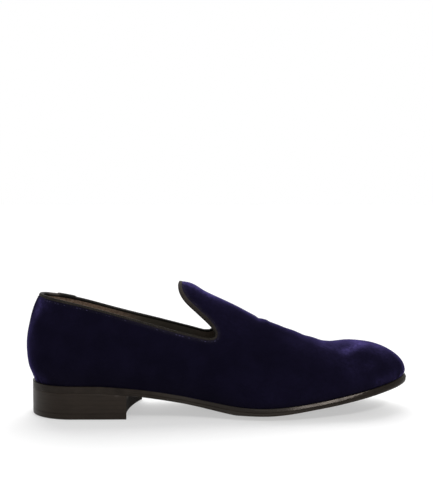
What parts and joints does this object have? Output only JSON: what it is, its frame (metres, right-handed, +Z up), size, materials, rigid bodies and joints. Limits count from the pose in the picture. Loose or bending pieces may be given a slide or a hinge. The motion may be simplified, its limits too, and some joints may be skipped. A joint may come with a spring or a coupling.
{
  "type": "velvet house slipper",
  "caption": "Right-foot slip-on velvet house slipper with a closed heel, a rounded instep tab, bound collar, thin leather sole and low stacked heel.",
  "frame": {"origin": "on the floor, under the middle of the shoe's bounding box", "axes": "+X towards the toe, +Y towards the medial (big toe) side, +Z up"},
  "size_m": [0.3006, 0.0962, 0.1008],
  "materials": {
    "velvet": "very dark navy velvet with a short nap",
    "binding": "black folded edge binding",
    "insole_leather": "brown leather sock",
    "sole_leather": "dark brown waxed edge",
    "heel_leather": "dark brown stacked leather, waxed"
  },
  "bodies": {
    "root": {"upper": "velvet", "topline_binding": "binding", "insole": "insole_leather", "outsole": "sole_leather", "heel": "heel_leather"}
  },
  "joints": []
}
